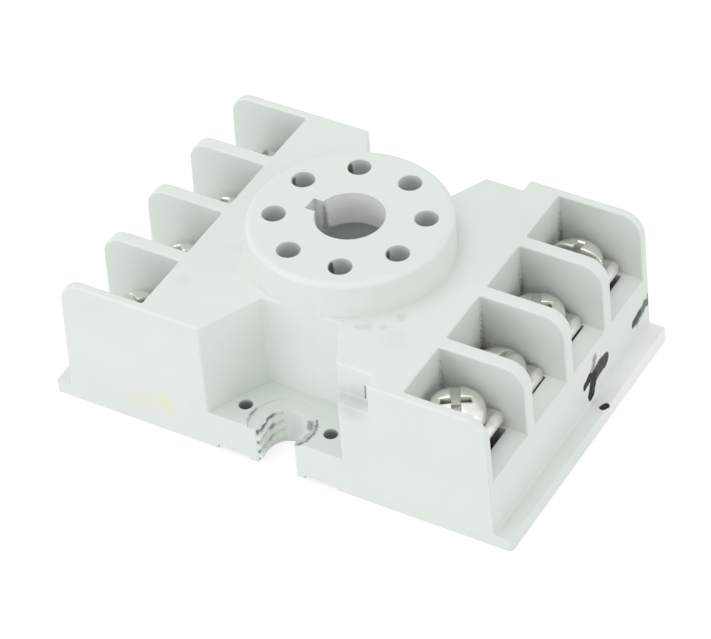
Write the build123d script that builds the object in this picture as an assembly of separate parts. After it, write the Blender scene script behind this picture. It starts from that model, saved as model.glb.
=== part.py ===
from build123d import *
import os
from math import atan2, cos, degrees, hypot, radians, sin

# An eight-pin screw-terminal relay socket, in millimetres.
# The origin is under the pin circle's centre, on the surface that the socket is fixed to.
# +X runs across to the terminals on the right, +Y to the back, +Z up out of the socket's face.

# Housing outline
flange_length = 60.2
width = 39.0
flange_thickness = 1.75
flange_reach = 2.25
flange_edge_radius = 0.25
cove_radius = 0.3
wall_draft = 0.45
block_height = 18.0
flange_corner_radius = 0.5

# Terminal pockets and the barrier fins between them
fin_thickness = 1.75
end_wall = 1.07
end_pocket_extra = 0.255
pocket_floor = 9.05
pocket_reach = 10.99
fin_corner_radius = 2.75

# Round boss that takes the relay's base
boss_radius = 11.95
boss_rise = 4.8
boss_rim_radius = 0.7
pin_circle = 17.45
pin_count = 8
pin_hole_radius = 1.4
pin_roof = 3.0
bore_radius = 4.1
bore_depth = 4.6
keyway_reach = 5.3
keyway_width = 1.9
well_radius = 5.3

# Recesses for the mounting screws, at the front and the back
recess_floor = 5.2
boss_bulge = 0.17
recess_half_back = 5.0
recess_half_front = 8.86
notch_set_in = 2.3
notch_radius = 2.55
spot_face_radius = 4.25
spot_face_depth = 0.25
clip_hole_x = 5.6
clip_hole_set_in = 3.1
clip_hole_radius = 0.85
relief_inner_x = 3.6
relief_outer_x = 7.9
relief_depth = 3.0
relief_height = 0.5

# Step in the top of the right-hand block, at its two inner corners
step_x = 12.75
step_set_back = 1.9
step_floor = 13.9

# Stamped contacts
strip_thickness = 0.9
strip_proud = 0.1
strip_width = 3.2
eye_wall = 0.25
pad_set_in = 0.1
window_gap = 0.85
channel_clearance = 0.2
sleeve_bore_radius = 1.22
sleeve_wall = 0.5
sleeve_headroom = 1.65
sleeve_slit = 0.8
sleeve_clearance = 0.58
collar_wall = 0.9
collar_height = 1.5

# Bottom cover, held by moulded stakes with flattened heads
cover_thickness = 1.2
cover_set_in = 0.5
cover_clearance = 0.15
cover_border = 1.4
tab_wall = 1.0
stake_radius = 0.8
stake_head_radius = 1.3
stake_head_height = 0.4
stake_x = 12.5
stake_y = 7.9

# Terminal screws and clamp plates
shank_radius = 1.72
shank_clearance = 0.05
shank_length = 8.0
neck_radius = 1.45
head_set_in = 0.25
head_height = 2.6
head_crown_radius = 1.5
slot_width = 1.05
slot_depth = 1.2
cross_width = 0.9
cross_length = 3.9
cross_depth = 1.5
plate_thickness = 0.95
plate_height = 1.25
plate_length = 7.95
plate_end_clearance = 0.12
plate_side_clearance = 0.3375
plate_lip = 1.1
plate_edge_radius = 0.5
plate_corner_radius = 0.6
plate_play = 0.5

# How far each screw stands backed off, and how its slot is turned, as the socket lies here
screw_lift = {3: 1.95, 5: 0.65, 6: 1.35}
slot_turn = {1: -50, 2: 60, 3: 31, 4: -15, 5: 28, 6: -90, 7: 10, 8: -75}

# Sizes that follow from the ones above
half_length = flange_length / 2
half_width = width / 2
wall_foot_x = half_length - flange_reach
wall_top_x = wall_foot_x - wall_draft
boss_top = block_height + boss_rise
bore_floor = boss_top - bore_depth
recess_back_y = boss_radius - boss_bulge
notch_centre_y = half_width - notch_set_in
clip_hole_y = half_width - clip_hole_set_in
terminal_pitch = (half_width - end_wall - end_pocket_extra + fin_thickness / 2) / 2
plate_width = terminal_pitch - fin_thickness - 2 * plate_side_clearance
head_radius = plate_width / 2 - head_set_in
neck_length = plate_thickness + plate_play
pocket_inner_x = wall_foot_x - pocket_reach
screw_x = pocket_inner_x + plate_end_clearance + plate_length / 2
window_end_x = screw_x + plate_length / 2 + plate_end_clearance
pad_length = 2 * (window_end_x - window_gap - screw_x)
pad_width = plate_width - 2 * pad_set_in
strip_top = pocket_floor + strip_proud
cover_top = cover_set_in + cover_thickness
sleeve_outer_radius = sleeve_bore_radius + sleeve_wall
pin_cell_radius = sleeve_outer_radius + sleeve_clearance
eye_radius = sleeve_outer_radius + eye_wall
over = 2.0


def upright(profile, z_from, z_to):
    """Extrude a plan sketch between two heights."""
    return extrude(Pos(0, 0, z_from) * profile, amount=z_to - z_from)


def plan_box(x_from, x_to, y_from, y_to, z_from, z_to):
    """A box given by its limits."""
    size = (x_to - x_from, y_to - y_from, z_to - z_from)
    return Pos(x_from, y_from, z_from) * Box(*size, align=(Align.MIN,) * 3)


def corners_at(face, half_x, y):
    """The corners of a symmetric sketch at one height, left and right of its middle line."""
    places = [Vector(side * half_x, y) for side in (1, -1)]
    return [face.vertices().sort_by_distance(place)[0] for place in places]


def terminal(number):
    """The pin and screw places of one terminal, counted round the circle from the key."""
    step = 360 / pin_count
    angle = radians(180 + step * (number - 0.5))
    pin = (pin_circle / 2 * cos(angle), pin_circle / 2 * sin(angle))
    outer_row = abs(pin[1]) > abs(pin[0])
    row_y = terminal_pitch * (1.5 if outer_row else 0.5)
    side = 1 if pin[0] > 0 else -1
    screw = (side * screw_x, row_y if pin[1] > 0 else -row_y)
    return pin, screw, side


terminals = {number: terminal(number) for number in range(1, pin_count + 1)}


def contact_plan(number, margin):
    """Plan of a stamped contact: the pad under the screw, the strip, and the eye round the pin."""
    pin, screw, side = terminals[number]
    run = (screw[0] - pin[0], screw[1] - pin[1])
    middle = ((screw[0] + pin[0]) / 2, (screw[1] + pin[1]) / 2)
    turn = degrees(atan2(run[1], run[0]))
    pad = Pos(*screw) * Rectangle(pad_length + 2 * margin, pad_width + 2 * margin)
    strip = Pos(*middle) * Rot(0, 0, turn) * Rectangle(hypot(*run), strip_width + 2 * margin)
    eye = Pos(*pin) * Circle(eye_radius + margin)
    return pad + strip + eye


def end_outline():
    """Outline seen from the front: flange, drafted outer walls and rounded fin corners."""
    right = [
        (half_length, 0),
        (half_length, flange_thickness),
        (wall_foot_x, flange_thickness),
        (wall_top_x, block_height),
    ]
    left = [(-x, z) for x, z in reversed(right)]
    face = make_face(Polyline(*right, *left, close=True))
    face = fillet(corners_at(face, wall_top_x, block_height), fin_corner_radius)
    face = fillet(corners_at(face, wall_foot_x, flange_thickness), cove_radius)
    return fillet(corners_at(face, half_length, flange_thickness), flange_edge_radius)


def pockets():
    """The eight open terminal pockets that leave the barrier fins standing."""
    inner = (fin_thickness / 2, terminal_pitch - fin_thickness / 2)
    outer = (terminal_pitch + fin_thickness / 2, half_width - end_wall)
    cut = Part()
    for low, high in (inner, outer):
        box = plan_box(pocket_inner_x, half_length + over, low, high, pocket_floor, boss_top)
        for mirrored in (box, mirror(box, Plane.YZ)):
            cut += mirrored + mirror(mirrored, Plane.XZ)
    return cut


def recess_plan():
    """Plan of the front recess, a trapezoid that widens to the front edge and past it."""
    slant = (recess_half_front - recess_half_back) / (half_width - recess_back_y)
    mouth = recess_half_front + slant * over
    right = [(recess_half_back, -recess_back_y), (mouth, -half_width - over)]
    left = [(-x, y) for x, y in reversed(right)]
    return make_face(Polyline(*right, *left, close=True))


def front_recess():
    """The recess, mounting notch and small holes at the front edge."""
    mouth_y = half_width + over
    cut = upright(recess_plan(), recess_floor, boss_top)
    notch = Pos(0, -notch_centre_y) * Circle(notch_radius)
    notch += Pos(0, -(notch_centre_y + mouth_y) / 2) * Rectangle(
        2 * notch_radius, mouth_y - notch_centre_y
    )
    cut += upright(notch, -over, recess_floor + over)
    spot = Pos(0, -notch_centre_y) * Circle(spot_face_radius)
    cut += upright(spot, recess_floor - spot_face_depth, recess_floor + over)
    for side in (1, -1):
        hole = Pos(side * clip_hole_x, -clip_hole_y) * Circle(clip_hole_radius)
        cut += upright(hole, -over, recess_floor + over)
        low, high = sorted((side * relief_inner_x, side * relief_outer_x))
        cut += plan_box(low, high, -mouth_y, relief_depth - half_width, -over, relief_height)
    step_y = half_width - step_set_back
    cut += plan_box(0, step_x, -mouth_y, -step_y, step_floor, boss_top)
    return cut


def cover_plan(margin):
    """Plan of the bottom cover: a plate with cut-outs for the two mounting tabs."""
    long_side = wall_foot_x - cover_border + margin
    short_side = half_width - cover_border + margin
    tab = offset(recess_plan(), tab_wall - margin, kind=Kind.INTERSECTION)
    return Rectangle(2 * long_side, 2 * short_side) - tab - mirror(tab, Plane.XZ)


def stake_places():
    return [Pos(sx * stake_x, sy * stake_y) for sx in (1, -1) for sy in (1, -1)]


def body_moulding():
    """The one-piece housing."""
    body = extrude(Plane.XZ * end_outline(), amount=half_width, both=True)
    plan = RectangleRounded(flange_length, width, flange_corner_radius)
    body &= upright(plan, 0, block_height)
    body -= pockets()
    front = front_recess()
    body -= front
    body -= mirror(front, Plane.XZ)
    boss = upright(Circle(boss_radius), recess_floor, boss_top)
    rim = boss.edges().filter_by(GeomType.CIRCLE).sort_by(Axis.Z)[-1]
    body += fillet(rim, boss_rim_radius)
    bore = Circle(bore_radius)
    bore += Pos(-keyway_reach / 2, 0) * Rectangle(keyway_reach, keyway_width)
    body -= upright(bore, bore_floor - over, boss_top + over)
    body -= upright(Circle(well_radius), -over, bore_floor)
    body -= upright(cover_plan(cover_clearance), -over, cover_top)
    for number, (pin, _, side) in terminals.items():
        body -= upright(Pos(*pin) * Circle(pin_hole_radius), 0, boss_top + over)
        body -= upright(Pos(*pin) * Circle(pin_cell_radius), 0, boss_top - pin_roof)
        body -= upright(contact_plan(number, channel_clearance), 0, strip_top)
        _, screw, _ = terminals[number]
        low, high = sorted((screw[0], side * window_end_x))
        half_window = pad_width / 2 + channel_clearance
        body -= plan_box(low, high, screw[1] - half_window, screw[1] + half_window, 0, strip_top)
    for place in stake_places():
        body += place * upright(Circle(stake_radius), cover_set_in, cover_top)
        low = cover_set_in - stake_head_height
        body += place * upright(Circle(stake_head_radius), low, cover_set_in)
    return body


def bottom_cover():
    """The flat insulating plate that closes the contact channels."""
    plan = cover_plan(0)
    for place in stake_places():
        plan -= place * Circle(stake_radius + cover_clearance)
    return upright(plan, cover_set_in, cover_top)


def contact(number):
    """A stamped contact: tapped pad, strip, and rolled sleeve under the pin hole."""
    pin, screw, side = terminals[number]
    strip_bottom = strip_top - strip_thickness
    tapped_radius = shank_radius + shank_clearance
    part = upright(contact_plan(number, 0), strip_bottom, strip_top)
    collar = Pos(*screw) * Circle(tapped_radius + collar_wall)
    part += upright(collar, strip_bottom - collar_height, strip_bottom)
    sleeve_top = boss_top - pin_roof - sleeve_headroom
    part += upright(Pos(*pin) * Circle(sleeve_outer_radius), strip_top, sleeve_top)
    part -= upright(Pos(*pin) * Circle(sleeve_bore_radius), 0, sleeve_top + over)
    part -= upright(Pos(*screw) * Circle(tapped_radius), 0, strip_top + over)
    turn = degrees(atan2(pin[1], pin[0]))
    slit = Rectangle(2 * sleeve_outer_radius, sleeve_slit, align=(Align.MIN, Align.CENTER))
    part -= upright(Pos(*pin) * Rot(0, 0, turn) * slit, strip_top, sleeve_top + over)
    return part


def clamp_plate(number):
    """A square wire clamp, captive on its screw's neck, with edges that turn down onto the pad."""
    _, screw, _ = terminals[number]
    lift = max(screw_lift.get(number, 0) - plate_play, 0)
    lip_height = plate_height - plate_thickness
    section = Pos(0, plate_height / 2) * Rectangle(plate_length, plate_height)
    section = fillet(corners_at(section, plate_length / 2, plate_height), plate_edge_radius)
    section -= Pos(0, lip_height / 2) * Rectangle(plate_length - 2 * plate_lip, lip_height)
    plate = extrude(Plane.XZ * section, amount=plate_width / 2, both=True)
    plan = RectangleRounded(plate_length, plate_width, plate_corner_radius)
    plan -= Circle(neck_radius + shank_clearance)
    plate &= upright(plan, 0, plate_height)
    return Pos(screw[0], screw[1], strip_top + lift) * plate


def terminal_screw(number):
    """A pan head screw with a slot, a cross recess and a neck; its thread is plain here."""
    _, screw, _ = terminals[number]
    part = upright(Circle(head_radius), 0, head_height)
    rim = part.edges().filter_by(GeomType.CIRCLE).sort_by(Axis.Z)[-1]
    part = fillet(rim, head_crown_radius)
    part += upright(Circle(neck_radius), -neck_length, 0)
    part += upright(Circle(shank_radius), -shank_length, -neck_length)
    slot = Rectangle(slot_width, 2 * head_radius + over)
    part -= upright(slot, head_height - slot_depth, head_height + over)
    cross = Rectangle(cross_length, cross_width)
    part -= upright(cross, head_height - cross_depth, head_height + over)
    height = strip_top + plate_height + screw_lift.get(number, 0)
    return Pos(screw[0], screw[1], height) * Rot(0, 0, slot_turn[number]) * part


os.makedirs("parts", exist_ok=True)
export_step(body_moulding(), "parts/body_moulding.step")
export_step(bottom_cover(), "parts/bottom_cover.step")
for number in terminals:
    export_step(contact(number), f"parts/contact_{number}.step")
    export_step(clamp_plate(number), f"parts/clamp_plate_{number}.step")
    export_step(terminal_screw(number), f"parts/terminal_screw_{number}.step")
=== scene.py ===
# %% [markdown]
# A screw-terminal relay socket, dressed over its solid model.
#
# The solid model gives every piece its real size and place. This file gives the pieces their
# finish: pale moulded plastic with softened edges, bright plated screws and clamps, and the
# marks that years of use have left. Each step is a cell, with a short note before it.

# %% The frame
import math

import bmesh
import bpy
import numpy as np
from mathutils import Matrix, Vector


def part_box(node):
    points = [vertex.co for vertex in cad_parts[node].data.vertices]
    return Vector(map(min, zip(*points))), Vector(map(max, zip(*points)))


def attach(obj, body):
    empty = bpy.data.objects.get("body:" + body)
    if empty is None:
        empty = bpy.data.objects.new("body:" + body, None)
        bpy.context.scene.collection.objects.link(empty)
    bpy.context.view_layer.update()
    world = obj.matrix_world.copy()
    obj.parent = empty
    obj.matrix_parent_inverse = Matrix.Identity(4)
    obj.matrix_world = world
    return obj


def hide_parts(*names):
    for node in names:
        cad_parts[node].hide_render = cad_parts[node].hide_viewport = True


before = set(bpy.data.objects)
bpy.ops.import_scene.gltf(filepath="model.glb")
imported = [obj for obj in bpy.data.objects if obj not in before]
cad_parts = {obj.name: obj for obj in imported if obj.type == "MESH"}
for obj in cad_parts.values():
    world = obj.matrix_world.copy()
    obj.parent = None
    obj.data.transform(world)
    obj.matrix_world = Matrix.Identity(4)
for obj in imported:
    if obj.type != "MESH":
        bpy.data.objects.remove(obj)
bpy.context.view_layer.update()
mm = 0.001
terminal_numbers = range(1, 9)


def add_object(name, data):
    """A new object in the scene, at the origin."""
    thing = bpy.data.objects.new(name, data)
    bpy.context.collection.objects.link(thing)
    return thing


# %% [markdown]
# The camera comes first, because everything after it is judged through it. The socket was seen
# from its front right, from well above, with a long lens and a slight tilt of the hand. A camera
# matrix needs three directions: right, up and back. They follow from two angles and the tilt.

# %% Camera
view_turn = math.radians(32.769)
view_height = math.radians(41.587)
view_tilt = math.radians(-4.736)
view_distance = 397.898 * mm
view_target = Vector((1.472, -2.894, 10.0)) * mm
focal_length = 175.64


def add_camera():
    """Place the camera on a sphere about its target, looking inwards, then roll it."""
    flat = math.cos(view_height)
    back = Vector((math.sin(view_turn) * flat, -math.cos(view_turn) * flat, math.sin(view_height)))
    level = Vector((0, 0, 1)).cross(back).normalized()
    rise = back.cross(level)
    right = level * math.cos(view_tilt) + rise * math.sin(view_tilt)
    up = rise * math.cos(view_tilt) - level * math.sin(view_tilt)
    lens = bpy.data.cameras.new("camera")
    lens.sensor_fit = "HORIZONTAL"
    lens.sensor_width = 36
    lens.lens = focal_length
    lens.clip_start = 0.01
    place = Matrix((right, up, back)).transposed().to_4x4()
    place.translation = view_target + back * view_distance
    camera = add_object("camera", lens)
    camera.matrix_world = place
    return camera


bpy.context.scene.camera = add_camera()
bpy.context.scene.view_settings.view_transform = "Standard"
print("camera at", [round(c / mm, 1) for c in bpy.context.scene.camera.location], "mm")

# %% [markdown]
# Shader trees are easier to read when one call adds a node, sets it up and links it. The helpers
# below take a node's inputs as a dictionary: a socket is linked, anything else is a plain value.

# %% Node helpers


def feed(tree, socket, value):
    """Link a socket to another one, or give it a plain value."""
    if isinstance(value, bpy.types.NodeSocket):
        tree.links.new(value, socket)
    else:
        socket.default_value = value


def add_node(tree, kind, inputs=None, **settings):
    """Add a shader node, set its properties, then fill or link its inputs."""
    node = tree.nodes.new(kind)
    for name, value in settings.items():
        setattr(node, name, value)
    for key, value in (inputs or {}).items():
        feed(tree, node.inputs[key], value)
    return node


def maths(tree, operation, *values):
    """One Math node, as its output socket."""
    node = add_node(tree, "ShaderNodeMath", dict(enumerate(values)), operation=operation)
    return node.outputs[0]


def chain(tree, operation, values):
    """Join several values by one operation, two at a time."""
    joined = values[0]
    for value in values[1:]:
        joined = maths(tree, operation, joined, value)
    return joined


def times(tree, *values):
    """The product of several values."""
    return chain(tree, "MULTIPLY", values)


def largest(tree, masks):
    """The union of several masks: the largest value at each point."""
    return chain(tree, "MAXIMUM", masks)


def plus(tree, first, second):
    """The sum of two values."""
    return maths(tree, "ADD", first, second)


def vector_maths(tree, operation, *values):
    """One Vector Math node."""
    return add_node(tree, "ShaderNodeVectorMath", dict(enumerate(values)), operation=operation)


def empty_tree(holder):
    """The node tree of a material or a world, without the nodes it starts with."""
    holder.use_nodes = True
    holder.node_tree.nodes.clear()
    return holder.node_tree


def new_material(name):
    """A node material with its output and its Principled shader, and Object coordinates."""
    material = bpy.data.materials.new(name)
    tree = empty_tree(material)
    output = add_node(tree, "ShaderNodeOutputMaterial")
    shader = add_node(tree, "ShaderNodeBsdfPrincipled")
    tree.links.new(shader.outputs[0], output.inputs["Surface"])
    place = add_node(tree, "ShaderNodeTexCoord").outputs["Object"]
    return material, tree, shader, place


def add_bump(tree, shader, height, strength, distance):
    """Roughen a shader's normal by a height, over a distance in millimetres."""
    inputs = {"Strength": strength, "Distance": distance * mm, "Height": height}
    bump = add_node(tree, "ShaderNodeBump", inputs)
    tree.links.new(bump.outputs[0], shader.inputs["Normal"])


print("node helpers ready: nodes, sums and products, materials and bumps")

# %% [markdown]
# The stage is a pale floor under an even, soft sky, the way a small product is shot on a white
# sweep. The floor is a plain matt white that also glows a little to the camera, so that it reads
# as white and still takes a faint shadow. Four large soft lamps shape the pale plastic, which
# would look flat under the sky alone.

# %% Stage and light
sky_strength = 0.67
floor_glow = 0.70
floor_white = 0.36
floor_bounce = 0.9
floor_half = 2.0
floor_z = -0.02 * mm
lamp_size = 0.5
lamp_aim = Vector((0, 0, 0.01))
lamps = {
    "left_lamp": ((-0.62, -0.78, 0.24), 2.3, (0.965, 0.96, 1.0)),
    "right_lamp": ((1.0, -0.05, 0.32), 1.6, (1.0, 1.0, 0.98)),
    "high_lamp": ((-0.25, 0.05, 0.95), 1.3, (1.0, 0.995, 0.98)),
    "front_lamp": ((0.05, -0.45, 0.85), 1.0, (1.0, 0.995, 0.99)),
}


def white_to_the_eye(tree):
    """1 for rays that come from the camera, a mirror or a glass, and 0 for the rest."""
    path = add_node(tree, "ShaderNodeLightPath")
    seen = maths(tree, "MAXIMUM", path.outputs["Is Camera Ray"], path.outputs["Is Glossy Ray"])
    return maths(tree, "MAXIMUM", seen, path.outputs["Is Transmission Ray"])


def add_sky():
    """A white world: full white where it is seen, and softer as a light."""
    world = bpy.data.worlds.new("sky")
    bpy.context.scene.world = world
    tree = empty_tree(world)
    seen = white_to_the_eye(tree)
    strength = plus(tree, times(tree, seen, 1 - sky_strength), sky_strength)
    sky = add_node(tree, "ShaderNodeBackground", {"Color": (1, 1, 1, 1), "Strength": strength})
    output = add_node(tree, "ShaderNodeOutputWorld")
    tree.links.new(sky.outputs[0], output.inputs["Surface"])


def add_floor():
    """A wide square floor, matt white, with a glow that only the eye and mirrors see."""
    turns = ((-1, -1), (1, -1), (1, 1), (-1, 1))
    corners = [(x * floor_half, y * floor_half, floor_z) for x, y in turns]
    mesh = bpy.data.meshes.new("floor")
    mesh.from_pydata(corners, [], [(0, 1, 2, 3)])
    floor = add_object("floor", mesh)
    material = bpy.data.materials.new("white_sweep")
    tree = empty_tree(material)
    seen = white_to_the_eye(tree)
    matt_seen, matt_light = (
        add_node(tree, "ShaderNodeBsdfDiffuse", {"Color": (white, white, white, 1)}).outputs[0]
        for white in (floor_white, floor_bounce)
    )
    matt = add_node(tree, "ShaderNodeMixShader", {0: seen, 1: matt_light, 2: matt_seen}).outputs[0]
    glow = times(tree, seen, floor_glow)
    light = add_node(tree, "ShaderNodeEmission", {"Strength": glow}).outputs[0]
    both = add_node(tree, "ShaderNodeAddShader", {0: matt, 1: light}).outputs[0]
    output = add_node(tree, "ShaderNodeOutputMaterial")
    tree.links.new(both, output.inputs["Surface"])
    mesh.materials.append(material)


def add_lamp(name, place, power, colour):
    """A square soft lamp that faces the middle of the socket."""
    lamp = bpy.data.lights.new(name, "AREA")
    lamp.size = lamp_size
    lamp.energy = power
    lamp.color = colour
    holder = add_object(name, lamp)
    holder.location = place
    holder.rotation_euler = (lamp_aim - Vector(place)).to_track_quat("-Z", "Y").to_euler()


add_sky()
add_floor()
for lamp_name, settings in lamps.items():
    add_lamp(lamp_name, *settings)
print("stage: sky, floor and", len(lamps), "soft lamps")

# %% [markdown]
# Three effects serve more than one finish, so each is a node group. *Grain* is the fine unevenness
# of a moulded or plated surface. *Stroke* is a line between two points, for pen, rubbed and painted
# shade marks: the distance to a line segment, with a ragged border. *Patch* is a soft round mask,
# for stains, smudges and painted shade.

# %% Shared effects
stroke_noise_scale = 1600.0
patch_noise_scale = 700.0
patch_heart = 0.15


def new_group(name, inputs, outputs):
    """An empty shader group, and its given and made sockets. An input without a number is a place."""
    group = bpy.data.node_groups.new(name, "ShaderNodeTree")
    for label, value in inputs.items():
        kind = "NodeSocketVector" if value is None else "NodeSocketFloat"
        socket = group.interface.new_socket(label, in_out="INPUT", socket_type=kind)
        if value is not None:
            socket.default_value = value
    for label in outputs:
        group.interface.new_socket(label, in_out="OUTPUT", socket_type="NodeSocketFloat")
    return group, group.nodes.new("NodeGroupInput").outputs, group.nodes.new("NodeGroupOutput").inputs


def noise(tree, place, scale, detail=3.0, roughness=0.5):
    """One Noise Texture, as its value socket."""
    inputs = {"Vector": place, "Scale": scale, "Detail": detail, "Roughness": roughness}
    return add_node(tree, "ShaderNodeTexNoise", inputs).outputs[0]


def smooth_step(tree, value, start, end):
    """Map a value from start..end to 0..1 with soft ends."""
    inputs = {"Value": value, "From Min": start, "From Max": end}
    node = add_node(tree, "ShaderNodeMapRange", inputs, interpolation_type="SMOOTHSTEP")
    return node.outputs[0]


def grain_group():
    """Fine and coarse unevenness: Height for bump, Tone and Gloss about zero."""
    inputs = {"Place": None, "Fine Scale": 4000.0, "Coarse Scale": 180.0}
    group, given, made = new_group("grain", inputs, ["Height", "Tone", "Gloss"])
    fine = noise(group, given["Place"], given["Fine Scale"], 2.0)
    coarse = noise(group, given["Place"], given["Coarse Scale"], 4.0)
    group.links.new(fine, made["Height"])
    group.links.new(maths(group, "SUBTRACT", coarse, 0.5), made["Tone"])
    mixed = times(group, plus(group, fine, coarse), 0.5)
    group.links.new(maths(group, "SUBTRACT", mixed, 0.5), made["Gloss"])
    return group


def stroke_group():
    """A mask along the segment From-To: 1 within Half Width of it, less a ragged noise."""
    places = {"Place": None, "From": None, "To": None}
    inputs = {**places, "Half Width": 0.0004, "Ragged": 0.00015, "Softness": 0.0001}
    group, given, made = new_group("stroke", inputs, ["Mask"])
    away = vector_maths(group, "SUBTRACT", given["Place"], given["From"]).outputs[0]
    run = vector_maths(group, "SUBTRACT", given["To"], given["From"]).outputs[0]
    along = vector_maths(group, "DOT_PRODUCT", away, run).outputs["Value"]
    length = vector_maths(group, "DOT_PRODUCT", run, run).outputs["Value"]
    share = maths(group, "DIVIDE", along, maths(group, "MAXIMUM", length, 1e-12))
    share = add_node(group, "ShaderNodeClamp", {"Value": share}).outputs[0]
    nearest = add_node(group, "ShaderNodeVectorMath", {0: run, "Scale": share}, operation="SCALE")
    gap = vector_maths(group, "SUBTRACT", away, nearest.outputs[0]).outputs[0]
    distance = vector_maths(group, "LENGTH", gap).outputs["Value"]
    wander = maths(group, "SUBTRACT", noise(group, given["Place"], stroke_noise_scale, 4.0, 0.6), 0.5)
    wander = times(group, wander, times(group, given["Ragged"], 2.0))
    edge = maths(group, "SUBTRACT", plus(group, distance, wander), given["Half Width"])
    soft = maths(group, "DIVIDE", edge, given["Softness"])
    group.links.new(smooth_step(group, soft, 1.0, -1.0), made["Mask"])
    return group


def patch_group():
    """A soft round mask about Centre that fades out at Radius, broken up by noise."""
    inputs = {"Place": None, "Centre": None, "Radius": 0.002, "Broken": 0.5}
    group, given, made = new_group("patch", inputs, ["Mask"])
    gap = vector_maths(group, "DISTANCE", given["Place"], given["Centre"]).outputs["Value"]
    fade = smooth_step(group, maths(group, "DIVIDE", gap, given["Radius"]), 1.0, patch_heart)
    cloud = maths(group, "SUBTRACT", noise(group, given["Place"], patch_noise_scale, 4.0, 0.6), 0.5)
    cloud = times(group, cloud, times(group, given["Broken"], 4.0))
    blend = times(group, fade, plus(group, cloud, 1.0))
    group.links.new(add_node(group, "ShaderNodeClamp", {"Value": blend}).outputs[0], made["Mask"])
    return group


grain = grain_group()
stroke = stroke_group()
patch = patch_group()
print("groups:", ", ".join(group.name for group in (grain, stroke, patch)))

# %% [markdown]
# A finish uses these groups as layers: a mask says where a layer lies, and a colour is mixed in by
# it. Marks of one kind are joined by taking the largest mask at each point, so overlaps stay even.

# %% Layers


def use_group(tree, group, **inputs):
    """Place a group in a material. Words in a name are joined by underscores."""
    named = {name.replace("_", " ").title(): value for name, value in inputs.items()}
    return add_node(tree, "ShaderNodeGroup", named, node_tree=group)


def mix_colour(tree, share, under, over):
    """Lay one colour over another by a mask."""
    sockets = {0: share, 6: under, 7: over}
    return add_node(tree, "ShaderNodeMix", sockets, data_type="RGBA", blend_type="MIX").outputs[2]


def shaded(colour, factor):
    """A colour made lighter or darker."""
    return tuple(c * factor for c in colour[:3]) + (1,)


print("layers ready: groups in materials and mixed colours")

# %% [markdown]
# The housing is a pale, slightly cool grey thermoset with a satin skin. Its history is on it: a
# plus, a dash and a dot in black pen on the right-hand side, a yellow stain low on the front,
# faint smudges on top, and grey metal rubbed off by a screw head around the front notch. All of
# them are placed in millimetres in the part's own frame, so they stay put from every side.

# %% Colours and places on the housing
plastic_colour = (0.775, 0.822, 0.777, 1)
stain_colour = (0.78, 0.82, 0.44, 1)
# Smudges, and also painted shade on the step's floor.
smudge_and_shade_colour = (0.50, 0.53, 0.51, 1)
# Rubbed-off metal, also used for painted shade in the small holes and for a painted shadow line.
rubbed_metal_and_shade_colour = (0.10, 0.11, 0.11, 1)
# Dust, and also painted shade lines in gaps and beside the keyway.
dust_and_shade_colour = (0.115, 0.125, 0.085, 1)
# Painted shade: a darker colour laid into the pockets, on the recess floors and in the pin holes.
painted_shade_colour = (0.47, 0.505, 0.475, 1)
# Painted light: lightens the bore and the far end of the right flange.
painted_light_colour = (0.90, 0.93, 0.90, 1)
ink_colour = (0.005, 0.006, 0.0055, 1)
pocket_inner_x = 16.86
pocket_floor_z = 9.05
pocket_edges = (0.875, 8.65, 10.4, 18.43)
pin_circle_radius = 8.725
pin_hole_radius = 1.4
boss_radius = 11.95
boss_top_z = 22.8
clip_hole = (5.6, 16.4)
clip_hole_radius = 0.85
side_x = 27.76
flange_top_z = 1.75
front_y = -19.5
top_z = 18.0
step_z = 13.9
spot_face_z = 4.95
scuff_z = 5.1
notch_axis = (0.0, -17.2)
print("housing: top at", top_z, "mm, front at", front_y, "mm, notch axis at", notch_axis, "mm")

# %% [markdown]
# A line mark is a run of points with a half width, a raggedness and a softness in millimetres, and
# a strength. A patch set is a list of spots, each a centre and a radius, with a share of breaking
# up and a strength. Tables of marks are easier to adjust than the shader code that draws them.

# %% Tables of marks
pen_marks = [
    ([(side_x, 8.0, 5.0), (side_x, 6.94, 5.1), (side_x, 5.38, 4.8)], 1.08, 0.34, 0.10, 0.94),
    ([(side_x, 5.38, 4.86), (side_x, 4.55, 2.75)], 0.84, 0.26, 0.10, 1.0),
    ([(side_x, 4.3, 5.55), (side_x, 3.25, 5.0)], 0.56, 0.30, 0.10, 1.0),
    ([(side_x, 17.2, 4.95), (side_x, 16.45, 4.85), (side_x, 15.6, 4.55)], 0.58, 0.34, 0.14, 0.92),
    ([(side_x, 19.2, 5.35), (side_x, 17.69, 5.07), (side_x, 16.62, 4.6)], 0.72, 0.9, 0.3, 0.78),
    ([(29.52, 4.05, flange_top_z), (29.72, 4.5, flange_top_z)], 0.45, 0.16, 0.08, 1.0),
    ([(side_x, 5.75, 7.4), (side_x, 5.3, 6.0), (side_x, 4.3, 5.6)], 0.42, 0.6, 0.2, 0.58),
]


def arc_points(radius, start, end, height=spot_face_z, count=5):
    """Points on an arc about the front notch's axis, at one height."""
    return [
        (notch_axis[0] + radius * math.cos(a), notch_axis[1] + radius * math.sin(a), height)
        for a in np.radians(np.linspace(start, end, count))
    ]


rubbed_and_shadow_marks = [
    (arc_points(4.3, 171, 206, scuff_z), 0.10, 0.26, 0.14, 0.55),
    (arc_points(4.32, 170, 186, scuff_z), 0.12, 0.2, 0.10, 0.85),
    (arc_points(3.72, 36, -36), 0.15, 0.38, 0.14, 0.85),
    (arc_points(3.42, 6, -38), 0.34, 0.6, 0.3, 0.38),
    ([(2.45, -15.65, spot_face_z), (2.95, -16.4, spot_face_z)], 0.36, 0.55, 0.25, 0.72),
    # Painted shadow: a thin dark line on the step's back wall, beside the right block's front edge.
    ([(11.45, -17.6, 15.9), (11.40, -17.6, 14.1)], 0.09, 0.04, 0.08, 0.9),
]


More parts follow.
